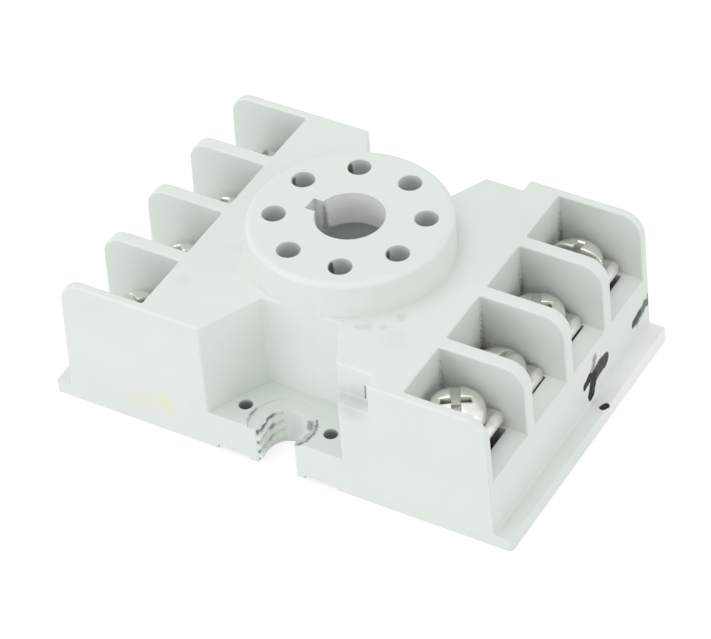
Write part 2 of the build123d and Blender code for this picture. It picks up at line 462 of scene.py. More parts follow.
def pin_gap_line(angle, facing=176):
    """A short upright line of painted shade on the left wall of the pin hole at this angle, where its
    sleeve stops.
    """
    wall = [pin_circle_radius * turn(math.radians(angle)) + pin_hole_radius * turn(math.radians(facing))
            for turn in (math.cos, math.sin)]
    return [(*wall, 22.15), (*wall, 20.4)]


pin_gap_width = {112.5: 0.5, 157.5: 0.3, 292.5: 0.5, 337.5: 0.3}
# Painted shade: dark lines in the gaps where the pin sleeves stop, and a painted shadow down the bore
# wall beside the keyway.
shade_lines_marks = [(pin_gap_line(angle), half, 0.25, 0.16, 0.95) for angle, half in pin_gap_width.items()]
shade_lines_marks.append(([(-4.0, 1.0, 22.2), (-3.98, 1.0, 18.6), (-3.2, 2.4, 17.9)], 0.26, 0.7, 0.3, 0.62))
stain_patches = [
    ([(-16.9, front_y, 4.0, 2.6), (-14.6, front_y, 4.4, 2.4), (-18.6, front_y, 3.4, 2.2)], 0.6, 0.2),
    ([(2.0, -13.8, 5.0, 1.3)], 0.4, 0.15),
    ([(-14.5, front_y, 3.95, 1.0), (-15.0, front_y, 4.6, 0.9)], 0.3, 0.5),
]
smudge_and_shade_patches = [
    ([(12.0, -11.6, top_z, 2.4), (-14.6, -13.1, top_z, 1.5), (-12.0, -5.7, top_z, 1.8)], 1.0, 0.09),
    ([(7.3, -11.3, top_z, 0.8), (8.1, -11.0, top_z, 0.9), (10.8, -7.95, top_z, 0.9),
      (9.8, -10.2, top_z, 0.6)], 1.4, 0.34),
    # Painted shade on the step's floor.
    ([(10.6, -18.6, step_z, 3.0), (8.4, -18.6, step_z, 2.4)], 0.12, 0.45),
]
# The last count is of the painted shade lines.
print("marks:", len(pen_marks), "of pen,", len(rubbed_and_shadow_marks), "rubbed,", len(shade_lines_marks), "of shade_lines")

# %% [markdown]
# The tables become masks: every line is a chain of strokes, every spot is a patch, and a set of
# marks is the largest of them at each point.

# %% Masks from the tables


def line_mask(tree, place, points, half_width, ragged, softness):
    """Strokes along a run of points, joined into one mask."""
    masks = []
    for start, end in zip(points, points[1:]):
        node = use_group(
            tree, stroke, place=place, half_width=half_width * mm, ragged=ragged * mm,
            softness=softness * mm, **{"from": Vector(start) * mm, "to": Vector(end) * mm},
        )
        masks.append(node.outputs[0])
    return largest(tree, masks)


def patch_mask(tree, place, spots, broken):
    """Soft patches, each a centre in millimetres and a radius, joined into one mask."""
    masks = []
    for *centre, radius in spots:
        node = use_group(
            tree, patch, place=place, centre=Vector(centre) * mm, radius=radius * mm, broken=broken,
        )
        masks.append(node.outputs[0])
    return largest(tree, masks)


def marks_mask(tree, place, marks):
    """A table of line marks, each at its own strength, joined into one mask."""
    masks = [times(tree, line_mask(tree, place, *line), strength) for *line, strength in marks]
    return largest(tree, masks)


def patches_mask(tree, place, patches):
    """A table of patch sets, each at its own strength, joined into one mask."""
    masks = [times(tree, patch_mask(tree, place, *spots), strength) for *spots, strength in patches]
    return largest(tree, masks)


print("masks ready: lines and patches")

# %% [markdown]
# Dust and painted shade are placed by position alone, so their masks are made from coordinates. Each
# pair below is a fade in millimetres: the value where the mask is 0, then the value where it is 1.
# Absolute coordinates fold the four corners of the socket into one, so a pocket is described only once.

# %% Painted shade and dust by position
pocket_start_x = (16.7, 16.85)
pocket_end_y = (18.75, 18.6)
pocket_bottom_z = (8.9, 9.0)
pocket_rim_z = (17.95, 17.6)
# Painted shade in the pockets: it grows inwards, downwards and beside the corners, and stays off the
# inner wall.
painted_shade_inwards = (26.5, 17.5)
painted_shade_downwards = (21.0, 9.5)
painted_shade_beside_corner = (2.4, 0.0)
painted_shade_off_wall = (17.1, 16.9)
left_to_right = (-5.0, 5.0)
dust_in_corner = (1.25, 0.0)
dust_lost_upwards = (9.0, 23.0)
dust_over_floor = (3.4, 0.1)
dust_inwards = (25.6, 22.0)
dust_contrast = (0.25, 0.85)


def millimetres(tree, place):
    """The three coordinates of a place, in millimetres."""
    parts = add_node(tree, "ShaderNodeSeparateXYZ", {0: place}).outputs
    return [maths(tree, "DIVIDE", part, mm) for part in parts]


def pocket_masks(tree, place):
    """Painted shade and dust in the terminal pockets. Both masks are 0 outside the pockets.

    Painted shade grows inwards along a pocket, down its walls and beside its corners. It is thin on the
    inner wall and stronger on the right. Dust lies in the upright corners and low on the walls, and
    a fine noise breaks it up.
    """
    x, y, z = millimetres(tree, vector_maths(tree, "ABSOLUTE", place).outputs[0])
    inside = times(
        tree, smooth_step(tree, x, *pocket_start_x), smooth_step(tree, y, *pocket_end_y),
        smooth_step(tree, z, *pocket_bottom_z), smooth_step(tree, z, *pocket_rim_z),
    )
    gaps = [maths(tree, "ABSOLUTE", maths(tree, "SUBTRACT", y, edge)) for edge in pocket_edges]
    nearest = chain(tree, "MINIMUM", gaps)
    corner = maths(tree, "MAXIMUM", nearest, maths(tree, "SUBTRACT", x, pocket_inner_x))
    over_floor = maths(tree, "SUBTRACT", z, pocket_floor_z)
    low = smooth_step(tree, over_floor, *dust_over_floor)
    low = times(tree, low, smooth_step(tree, x, *dust_inwards))
    upright = smooth_step(tree, corner, *dust_in_corner)
    upright = maths(tree, "SUBTRACT", upright, smooth_step(tree, z, *dust_lost_upwards))
    settled = maths(tree, "MAXIMUM", upright, low)
    speckle = times(tree, maths(tree, "SUBTRACT", noise(tree, place, 2600.0, 3.0, 0.7), 0.42), 1.6)
    dust = smooth_step(tree, plus(tree, times(tree, settled, 0.6), speckle), *dust_contrast)
    dust = add_node(tree, "ShaderNodeClamp", {"Value": times(tree, dust, settled)}).outputs[0]
    # Painted shade: darker down the walls, inwards along a pocket and beside its corners, and more on
    # the right.
    downwards = smooth_step(tree, z, *painted_shade_downwards)
    cloud = plus(tree, noise(tree, place, 420.0, 4.0, 0.6), 0.5)
    along = times(tree, smooth_step(tree, x, *painted_shade_inwards), downwards, cloud)
    beside = times(tree, smooth_step(tree, corner, *painted_shade_beside_corner), downwards, 0.22)
    off_wall = maths(tree, "SUBTRACT", 1.0, times(tree, smooth_step(tree, x, *painted_shade_off_wall), 0.85))
    painted_shade = plus(tree, times(tree, plus(tree, along, beside), off_wall), times(tree, low, 0.25))
    side = smooth_step(tree, millimetres(tree, place)[0], *left_to_right)
    painted_shade = times(tree, painted_shade, plus(tree, times(tree, side, 0.45), 0.42))
    return times(tree, painted_shade, inside), times(tree, dust, inside)


print("pocket masks ready: film and dust, each described for one quarter")

# %% [markdown]
# The painted shade and light about the boss, the recesses and the small holes need the same kind of
# mask. Here the distance from an axis does the work: the root of x^2 + y^2 for the boss, and a flat
# distance for the small holes.

# %% Painted shade and light about the boss
recess_over = (4.8, 4.9)
recess_under = (5.35, 5.25)
recess_sides_x = (9.5, 9.0)
recess_front_y = (19.46, 19.3)
recess_right = (-3.0, 5.0)
pin_ring = (1.6, 1.45)
pin_depth = (22.75, 22.0)
bore_inside = (4.6, 4.3)
bore_depth = (boss_top_z, 22.3)
flange_start_x = (27.9, 28.2)
flange_far_y = (-4.0, 10.0)
hole_margins = (0.16, 0.04)
hole_depth = (5.2, 4.6)


def boss_masks(tree, place):
    """Three masks from the height and the plan distance to the boss's axis.

    Painted shade lies thinly on the recess floors, more of it on the right, and in the pin holes.
    The bore and the far end of the right flange are painted lighter, as painted light.
    """
    x, y, z = millimetres(tree, place)
    # Painted shade on the recess floors, more on the right.
    floor_painted_shade = times(
        tree, smooth_step(tree, z, *recess_under), smooth_step(tree, z, *recess_over),
        smooth_step(tree, maths(tree, "ABSOLUTE", x), *recess_sides_x),
        smooth_step(tree, maths(tree, "ABSOLUTE", y), *recess_front_y),
        plus(tree, times(tree, smooth_step(tree, x, *recess_right), 0.12), 0.16),
    )
    away = maths(tree, "SQRT", plus(tree, times(tree, x, x), times(tree, y, y)))
    off_ring = maths(tree, "ABSOLUTE", maths(tree, "SUBTRACT", away, pin_circle_radius))
    cloudy = plus(tree, times(tree, noise(tree, place, 2600.0, 3.0, 0.7), 0.55), 0.05)
    ring = smooth_step(tree, off_ring, *pin_ring)
    # Painted shade in the pin holes.
    pin_painted_shade = times(tree, ring, smooth_step(tree, z, *pin_depth), cloudy)
    # Painted light: the bore and the far end of the right flange are made lighter.
    bore = times(tree, smooth_step(tree, away, *bore_inside), smooth_step(tree, z, *bore_depth))
    flange = times(tree, smooth_step(tree, x, *flange_start_x), smooth_step(tree, y, *flange_far_y))
    return floor_painted_shade, pin_painted_shade, maths(tree, "MAXIMUM", bore, flange)


def hole_shade_mask(tree, place):
    """1 inside the four small holes, where shade is painted, from the plan distance to their axes
    folded into one quarter.
    """
    folded = vector_maths(tree, "ABSOLUTE", place).outputs[0]
    flat = vector_maths(tree, "MULTIPLY", folded, (1, 1, 0)).outputs[0]
    away = vector_maths(tree, "DISTANCE", flat, Vector((*clip_hole, 0)) * mm).outputs["Value"]
    near = smooth_step(tree, away, *((clip_hole_radius + margin) * mm for margin in hole_margins))
    return times(tree, near, smooth_step(tree, millimetres(tree, place)[2], *hole_depth))


print("boss masks ready: recess film, pin-hole film, cleaner places and small holes")

# %% [markdown]
# The finish lays the colours over each other in this order: the moulding, the stain and smudges
# with painted shade on the step, painted shade in the pockets, painted light, painted shade on the
# recess floors and in the pin holes, painted shade lines, dust, painted shade in the small holes,
# rubbed metal with one painted shadow line, and the pen last of all. Ink is duller than the satin
# skin, so its mask also raises the roughness.

# %% Housing plastic
skin_roughness = 0.44
ink_roughness = 0.4


def housing_plastic():
    """Pale satin plastic with pen marks, a stain, smudges, pocket dust, rubbed-off metal, painted shade
    and painted light.
    """
    material, tree, shader, place = new_material("housing_plastic")
    skin = use_group(tree, grain, place=place, fine_scale=5200.0, coarse_scale=160.0)
    tone = plus(tree, skin.outputs["Tone"], 0.5)
    colour = mix_colour(tree, tone, shaded(plastic_colour, 0.965), shaded(plastic_colour, 1.03))
    painted_shade, dust = pocket_masks(tree, place)
    floor_painted_shade, pin_painted_shade, painted_light = boss_masks(tree, place)
    layers = [
        (patches_mask(tree, place, stain_patches), stain_colour),
        # Smudges, and painted shade on the step's floor.
        (patches_mask(tree, place, smudge_and_shade_patches), smudge_and_shade_colour),
        # Painted shade in the pockets.
        (painted_shade, painted_shade_colour),
        # Painted light in the bore and on the far end of the right flange.
        (times(tree, painted_light, 0.85), painted_light_colour),
        # Painted shade on the recess floors and in the pin holes.
        (maths(tree, "MAXIMUM", floor_painted_shade, pin_painted_shade), painted_shade_colour),
        # Painted shade lines in the pin sleeves' gaps and beside the keyway.
        (marks_mask(tree, place, shade_lines_marks), dust_and_shade_colour),
        (times(tree, dust, 0.85), dust_and_shade_colour),
        # Painted shade inside the small holes.
        (times(tree, hole_shade_mask(tree, place), 0.72), rubbed_metal_and_shade_colour),
        # Rubbed metal, and one painted shadow line.
        (times(tree, marks_mask(tree, place, rubbed_and_shadow_marks), 0.9), rubbed_metal_and_shade_colour),
    ]
    for mask, over in layers:
        colour = mix_colour(tree, mask, colour, over)
    ink = marks_mask(tree, place, pen_marks)
    brushed = smooth_step(tree, noise(tree, place, 2400.0, 3.0, 0.7), 0.30, 0.55)
    brushed = plus(tree, times(tree, brushed, 0.07), 0.93)
    colour = mix_colour(tree, times(tree, ink, brushed), colour, ink_colour)
    tree.links.new(colour, shader.inputs["Base Color"])
    matt = plus(tree, times(tree, ink, ink_roughness), skin_roughness)
    rough = plus(tree, times(tree, skin.outputs["Gloss"], 0.16), matt)
    tree.links.new(rough, shader.inputs["Roughness"])
    add_bump(tree, shader, skin.outputs["Height"], 0.12, 0.02)
    return material


def chewed_plastic():
    """The same plastic, roughened, with grey metal left in the grooves of a chewed wall."""
    material, tree, shader, place = new_material("chewed_plastic")
    skin = use_group(tree, grain, place=place, fine_scale=3600.0, coarse_scale=500.0)
    groove = add_node(tree, "ShaderNodeAttribute", attribute_name="groove").outputs["Fac"]
    cloud = plus(tree, times(tree, skin.outputs["Tone"], 1.6), 0.9)
    rubbed = smooth_step(tree, times(tree, groove, cloud), 0.12, 0.85)
    colour = mix_colour(tree, times(tree, rubbed, 0.84), plastic_colour, rubbed_metal_and_shade_colour)
    tree.links.new(colour, shader.inputs["Base Color"])
    tree.links.new(plus(tree, skin.outputs["Gloss"], 0.6), shader.inputs["Roughness"])
    add_bump(tree, shader, skin.outputs["Height"], 0.35, 0.05)
    return material


plastic = housing_plastic()
print("material:", plastic.name, "with", len(plastic.node_tree.nodes), "nodes")

# %% [markdown]
# The screws and clamps are plated steel: bright, a little warm, finely scratched. The contacts are
# tinned strip, duller and softer. The plate under the socket is dark pressed fibre. A metal shows
# little colour of its own, so most of the work is in its roughness and in a shallow bump.

# %% Metal and fibre
# Painted shade on the plating: deep in the screw heads' recesses, and on the clamps' flat tops and far
# sides.
metal_shade_colour = (0.10, 0.105, 0.085, 1)
fibre_colours = ((0.046, 0.048, 0.046, 1), (0.10, 0.105, 0.095, 1))


def plated_metal(name, colour, shine, rough, spread, scale, dents=0.02, recess_metal_shade=0.0):
    """Plating with streaky scratches, cloudy dull patches and painted shade where the recess attribute
    is high.
    """
    material, tree, shader, place = new_material(name)
    skin = use_group(tree, grain, place=place, fine_scale=scale, coarse_scale=900.0)
    cloud = skin.outputs["Tone"]
    stretch = add_node(tree, "ShaderNodeMapping", {"Vector": place, "Scale": (1.0, 9.0, 1.0)})
    streak = noise(tree, stretch.outputs[0], scale, 3.0, 0.7)
    shade = mix_colour(tree, plus(tree, times(tree, cloud, 1.6), 0.5), shaded(colour, 0.80), colour)
    # Painted shade: the recess attribute darkens the plating.
    if recess_metal_shade:
        recess = add_node(tree, "ShaderNodeAttribute", attribute_name="recess").outputs["Fac"]
        patchy = plus(tree, times(tree, cloud, 2.0), 0.75)
        shade = mix_colour(tree, times(tree, recess, patchy, recess_metal_shade), shade, metal_shade_colour)
    tree.links.new(shade, shader.inputs["Base Color"])
    shader.inputs["Metallic"].default_value = shine
    tree.links.new(plus(tree, times(tree, cloud, spread), rough), shader.inputs["Roughness"])
    add_bump(tree, shader, plus(tree, streak, times(tree, cloud, 2.0)), 0.3, dents)
    return material


def pressed_fibre():
    """Dark fibre board with short pale threads in it."""
    material, tree, shader, place = new_material("pressed_fibre")
    stretch = add_node(tree, "ShaderNodeMapping", {"Vector": place, "Scale": (1.0, 6.0, 1.0)})
    thread = smooth_step(tree, noise(tree, stretch.outputs[0], 900.0, 5.0, 0.65), 0.45, 0.7)
    tree.links.new(mix_colour(tree, thread, *fibre_colours), shader.inputs["Base Color"])
    tree.links.new(maths(tree, "SUBTRACT", 0.85, times(tree, thread, 0.15)), shader.inputs["Roughness"])
    add_bump(tree, shader, thread, 0.4, 0.03)
    return material


screw_plating = plated_metal(
    "screw_plating", (0.91, 0.935, 0.87, 1), 0.95, 0.20, 0.22, 2600.0, dents=0.025, recess_metal_shade=0.5,
)
clamp_plating = plated_metal(
    "clamp_plating", (0.96, 0.97, 0.94, 1), 0.65, 0.20, 0.24, 1900.0, dents=0.04, recess_metal_shade=0.9,
)
tinned_strip = plated_metal("tinned_strip", (0.66, 0.65, 0.60, 1), 1.0, 0.38, 0.25, 1800.0)
fibre = pressed_fibre()
print("materials:", screw_plating.name, clamp_plating.name, tinned_strip.name, fibre.name)

# %% [markdown]
# A moulding has no sharp edges. The solid model's housing has its large radii, and this copy adds
# the small ones that catch the light: its triangles are welded, flat areas are joined into whole
# faces, and a Bevel modifier rounds what is left sharp. Each edge carries a weight, because the
# tops of the fins are worn rounder than the windows and holes. The copy stands in for the solid.

# %% Softened housing
weld_distance = 0.02 * mm
flat_angle = math.radians(0.6)
sharp_angle = math.radians(34)
cover_seat_z = 1.7
edge_radius = 0.24 * mm
edge_segments = 3
sharp, crisp, usual, worn = 0.0, 0.15, 0.5, 1.0
flange_x = 27.5
flange_heights = (0.6, 2.4)
keyway_x = (-6, -3)
keyway_half = 1.6
keyway_top_z = 22.7
boss_edge_z = 22.6
fin_heights = (9.3, 18.3)
crisp_heights = ((-1, 0.6), (4.8, 5.3), (8.9, 9.2), (boss_edge_z, 24))


def welded_copy(node_name, piece_name, edge_weight):
    """A new object with a node's triangles welded, its flat areas joined and its edges weighted."""
    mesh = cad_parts[node_name].data.copy()
    mesh.name = piece_name
    mesh.materials.clear()
    work = bmesh.new()
    work.from_mesh(mesh)
    bmesh.ops.remove_doubles(work, verts=work.verts, dist=weld_distance)
    bmesh.ops.dissolve_degenerate(work, edges=work.edges, dist=weld_distance / 4)
    seat_z = cover_seat_z * mm
    joined = [e for e in work.edges if max(abs(v.co.z - seat_z) for v in e.verts) > weld_distance]
    bmesh.ops.dissolve_limit(
        work, angle_limit=flat_angle, verts=[], edges=joined, use_dissolve_boundaries=False
    )
    weights = work.edges.layers.float.new("bevel_weight_edge")
    for edge in work.edges:
        if edge.is_manifold and edge.calc_face_angle() > sharp_angle:
            edge[weights] = edge_weight((edge.verts[0].co + edge.verts[1].co) / (2 * mm))
            edge.smooth = edge[weights] > 0
    work.to_mesh(mesh)
    work.free()
    return add_object(piece_name, mesh)


def soften(piece):
    """Round the weighted edges by a Bevel modifier, and let large faces keep their own normals."""
    piece.data.shade_smooth()
    bevel = piece.modifiers.new("soft_edges", "BEVEL")
    bevel.width = edge_radius
    bevel.segments = edge_segments
    bevel.limit_method = "WEIGHT"
    bevel.use_clamp_overlap = False
    bevel.miter_outer = "MITER_ARC"
    even = piece.modifiers.new("flat_faces", "WEIGHTED_NORMAL")
    even.keep_sharp = True


def finish_piece(piece, material, body, slot_name, *nodes):
    """Give a piece its material, its body and the nodes it stands for; the slot name is not used."""
    piece.data.materials.append(material)
    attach(piece, body)
    if nodes:
        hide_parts(*nodes)


def housing_edge_weight(middle):
    """Fins and the block's top are worn most; the boss, windows and foot keep a crisper edge.

    The flange's edge and the cove over it are rounded in the solid already. The cover's seat, the
    keyway and the foot of the boss stay sharp.
    """
    x, y, z = middle
    on_flange = abs(x) > flange_x and flange_heights[0] < z < flange_heights[1]
    on_seat = abs(z - cover_seat_z) < 0.05
    in_keyway = keyway_x[0] < x < keyway_x[1] and abs(y) < keyway_half and z < keyway_top_z
    on_boss_foot = abs(math.hypot(x, y) - boss_radius) < 0.3 and abs(z - top_z) < 0.1
    if on_flange or on_seat or in_keyway or on_boss_foot:
        return sharp
    if fin_heights[0] < z < fin_heights[1]:
        return worn
    if any(low < z < high for low, high in crisp_heights):
        return crisp
    return usual


housing = welded_copy("body_moulding", "housing_shell", housing_edge_weight)
soften(housing)
finish_piece(housing, plastic, "base", "housing", "body_moulding")
print("housing:", len(housing.data.polygons), "faces before rounding")

# %% [markdown]
# New pieces are grids of points. These helpers number the corners of a grid's faces, find the run
# of points round its border, and join one closed run to the next, so that a shape stays closed.

# %% Grid helpers


def grid_quads(rows, columns):
    """Corner numbers of a grid's faces, counter-clockwise where columns go right and rows up."""
    index = np.arange(rows * columns).reshape(rows, columns)
    corners = [index[:-1, :-1], index[:-1, 1:], index[1:, 1:], index[1:, :-1]]
    return np.stack(corners, axis=-1).reshape(-1, 4)


def grid_border(rows, columns):
    """Numbers of the points round a grid's border, counter-clockwise."""
    index = np.arange(rows * columns).reshape(rows, columns)
    return np.concatenate([index[0, :-1], index[:-1, -1], index[-1, :0:-1], index[:0:-1, 0]])


def band_quads(runs):
    """Faces between closed runs of points, each run below the one before it."""
    after = np.roll(runs, -1, axis=1)
    corners = [runs[:-1], runs[1:], after[1:], after[:-1]]
    return np.stack(corners, axis=-1).reshape(-1, 4)


def smooth(share):
    """The curve 3t^2 - 2t^3, held at 0 and 1 outside that range."""
    share = np.clip(share, 0, 1)
    return share * share * (3 - 2 * share)


def new_piece(name, points, faces, attribute, values):
    """A mesh object from points in millimetres and faces, with one value per point."""
    mesh = bpy.data.meshes.new(name)
    mesh.from_pydata((points * mm).tolist(), [], faces)
    mesh.shade_smooth()
    mesh.set_sharp_from_angle(angle=sharp_angle)
    layer = mesh.attributes.new(attribute, "FLOAT", "POINT")
    layer.data.foreach_set("value", np.asarray(values, dtype=np.float32))
    return add_object(name, mesh)


print("grid helpers ready: faces, borders, bands and new pieces")

# %% [markdown]
# A terminal screw has a pan head with a driver slot and a cross recess, a neck that keeps the clamp
# captive, and a thread. A slot cut into a finished dome would have ragged edges, so the head is a
# square grid whose lines lie along the slot and the cross. The grid is drawn in to a disc towards
# the rim, and its height is lowered between those lines.

# %% Screw head
head_radius = 3.3
head_height = 2.6
rim_height = 1.0
dome_power = 3.2
dome_root = 0.46
square_middle = 1.0
slot_half = 0.525
slot_floor = 1.4
cross_half = 0.45
cross_floor = 1.1
cross_slope = (1.2, 1.95)
edge_round = 0.08
# Painted shade in the head: full at this depth, and weaker in the slot than in the cross.
full_metal_shade_depth = 0.6
slot_metal_shade = 0.45
slot_lines = [0, 0.28, 0.46, 0.51, 0.525, 0.56, 0.62, 0.85, 1.2, 1.5, 1.75, 1.95, 2.05, 2.3, 2.6,
              2.85, 3.02, 3.14, 3.23, 3.3]
cross_lines = [0, 0.22, 0.39, 0.435, 0.45, 0.485, 0.54, 0.8, 1.2, 1.7, 2.2, 2.6, 2.85, 3.02, 3.14,
               3.23, 3.3]


def both_ways(lines):
    """A rising list from 0, continued to the negative side."""
    lines = np.array(lines)
    return np.concatenate([-lines[:0:-1], lines])


def eased_edge(past):
    """How far an edge is rounded off at a distance past it: a parabola over the edge's radius."""
    return edge_round * np.clip(1 - np.clip(past, 0, None) / edge_round, 0, 1) ** 2


def head_top():
    """The head's upper face: points, and how deep each lies in the slot or the cross, which sets its
    painted shade.

    A grid point (p, q) is scaled by 1 near the middle and by max(|p|, |q|) / hypot(p, q) at the
    rim, which turns squares into circles. The dome falls as a root of 1 - r^3.2. Between the slot's
    lines the height is the slot's floor, between the cross's lines it is the cross's, and both
    edges are eased by a parabola.
    """
    p, q = np.meshgrid(both_ways(slot_lines), both_ways(cross_lines))
    square = np.maximum(abs(p), abs(q))
    reach = np.maximum(np.hypot(p, q), 1e-9)
    draw = 1 + smooth((square - square_middle) / (head_radius - square_middle)) * (square / reach - 1)
    x, y = p * draw, q * draw
    away = np.clip(np.hypot(x, y) / head_radius, 0, 1)
    dome = rim_height + (head_height - rim_height) * (1 - away ** dome_power) ** dome_root
    past_slot = abs(p) - slot_half
    z = np.where(past_slot < -0.01, np.minimum(dome, slot_floor), dome - eased_edge(past_slot))
    start, end = cross_slope
    floor = cross_floor + (head_height - cross_floor) * smooth((abs(p) - start) / (end - start))
    past_cross = abs(q) - cross_half
    eased = eased_edge(past_cross) * (abs(p) < end)
    z = np.where(past_cross < -0.01, np.minimum(z, floor), np.minimum(z, dome - eased))
    # The depth sets the painted shade in the slot and the cross.
    depth = smooth((dome - z) / full_metal_shade_depth) * np.where(past_cross < 0.03, 1.0, slot_metal_shade)
    return np.stack([x, y, z], axis=-1), depth


head_points, head_depth = head_top()
print("screw head:", head_points.shape[0], "by", head_points.shape[1], "points")

# %% [markdown]
# The border of the head's grid runs on, ring by ring, down the side, the neck and the thread to the
# tip, so the whole screw is one closed surface. One screw is made, then turned and set eight times.

# %% Screws
neck_radius = 1.45
neck_length = 1.45
shank_length = 8.0
thread_radius = 1.72
thread_depth = 0.36
thread_pitch = 25.4 / 32
thread_rise = 0.25
tip_length = 0.7
tip_radius = 1.1
rings_per_turn = 6
head_side = [(head_radius, 0.16), (head_radius - 0.05, 0.05), (head_radius - 0.16, 0.0)]
neck_side = [(neck_radius + 0.1, 0.0), (neck_radius, -0.1), (neck_radius, -neck_length)]
slot_turn = {1: -50, 2: 60, 3: 31, 4: -15, 5: 28, 6: -90, 7: 10, 8: -75}


def shank_rings(angles):
    """Rings from the head's rim to the tip: radius as a function of height and angle.

    The thread is a helix: its depth is a clipped triangle wave of height / pitch - angle / turn.
    It rises out of the neck over a quarter of a millimetre and tapers to the tip.
    """
    radii, levels = np.array(head_side + neck_side).T
    plain = np.repeat(radii[:, None], len(angles), axis=1)
    turns = (shank_length - neck_length) / thread_pitch
    heights = np.linspace(-neck_length - 0.02, -shank_length, int(turns * rings_per_turn))
    phase = (heights[:, None] / thread_pitch - angles[None, :] / (2 * np.pi)) % 1
    groove = np.clip(1.25 * abs(2 * phase - 1) - 0.125, 0, 1)
    rise = smooth((-neck_length - heights) / thread_rise)[:, None]
    tip = smooth((heights + shank_length) / tip_length)[:, None]
    radius = thread_radius - thread_depth * groove
    radius = neck_radius + (radius - neck_radius) * rise
    radius = tip_radius + (radius - tip_radius) * tip
    radius = np.concatenate([plain, radius])
    heights = np.broadcast_to(np.concatenate([levels, heights])[:, None], radius.shape)
    return np.stack([radius * np.cos(angles), radius * np.sin(angles), heights], axis=-1)


def screw_surface():
    """Points, faces and recess depths of one screw, with its head's underside at height 0."""
    rows, columns = head_depth.shape
    border = grid_border(rows, columns)
    upper = head_points.reshape(-1, 3)
    rings = shank_rings(np.arctan2(upper[border, 1], upper[border, 0]))
    first = len(upper)
    numbers = first + np.arange(rings.shape[0] * rings.shape[1]).reshape(rings.shape[:2])
    tip = np.array([[0, 0, -shank_length]])
    points = np.concatenate([upper, rings.reshape(-1, 3), tip])
    quads = np.concatenate([grid_quads(rows, columns), band_quads(np.vstack([border, numbers]))])
    last = numbers[-1]
    fan = np.stack([last, np.full_like(last, len(points) - 1), np.roll(last, -1)], axis=-1)
    depths = np.concatenate([head_depth.ravel(), np.zeros(len(points) - first)])
    return points, quads.tolist() + fan.tolist(), depths


screw_points, screw_faces, recess_depth = screw_surface()
for number in terminal_numbers:
    low, high = (np.array(corner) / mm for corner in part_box(f"terminal_screw_{number}"))
    turn = math.radians(slot_turn[number])
    spin = np.array(Matrix.Rotation(turn, 3, "Z"))
    axis = np.array([(low[0] + high[0]) / 2, (low[1] + high[1]) / 2, high[2] - head_height])
    placed = screw_points @ spin.T + axis
    screw = new_piece(f"pan_screw_{number}", placed, screw_faces, "recess", recess_depth)
    finish_piece(screw, screw_plating, f"screw_{number}", "screw", f"terminal_screw_{number}")
print("screws:", len(terminal_numbers), "with", len(screw_faces), "faces each")

# %% [markdown]
# Each screw holds a wire clamp: a square plate, pressed from strip, whose two ends are bent down so
# that they grip the bare strands. The bend is what catches the light. A flat box with a Bevel could
# not give that long curve, so the plate is one closed ring of points: from the hole out over the top
# to a rounded rectangle, down its edge, and back along the underside to the hole.

# %% Clamp plates
clamp_length = 7.95
clamp_width = 7.1
clamp_height = 1.25
clamp_lift = 0.30
clamp_hole = 1.5
clamp_corner = 0.5
clamp_lip = 1.1
foot_gap = 0.02
bend_radius = 0.9
rim_radius = 0.28
crease_set_in = 0.12
crease_width = 0.11
crease_depth = 0.012
wave_room = 0.04
lip_step = 0.2
# Painted shade on the clamp: its flat top and its far side are darkened, so the bent lips read bright.
flat_metal_shade = 0.6
far_metal_shade = 0.45
top_steps = 1 - np.linspace(1, 0, 19) ** 1.9


def rounded_outline(half_x, half_y, radius, arc_count=9, side_count=10):
    """Points round a rectangle with rounded corners: each corner's arc, then the side after it."""
    turns = np.linspace(0, np.pi / 2, arc_count)
    runs = []
    for corner in range(4):
        flip = (1 if corner in (0, 3) else -1, 1 if corner < 2 else -1)
        centre = np.array([(half_x - radius) * flip[0], (half_y - radius) * flip[1]])
        angle = turns + corner * np.pi / 2
        runs.append(centre + radius * np.stack([np.cos(angle), np.sin(angle)], axis=-1))
    sides = [np.linspace(a[-1], b[0], side_count)[1:-1] for a, b in zip(runs, runs[1:] + runs[:1])]
    return np.concatenate([part for pair in zip(runs, sides) for part in pair])


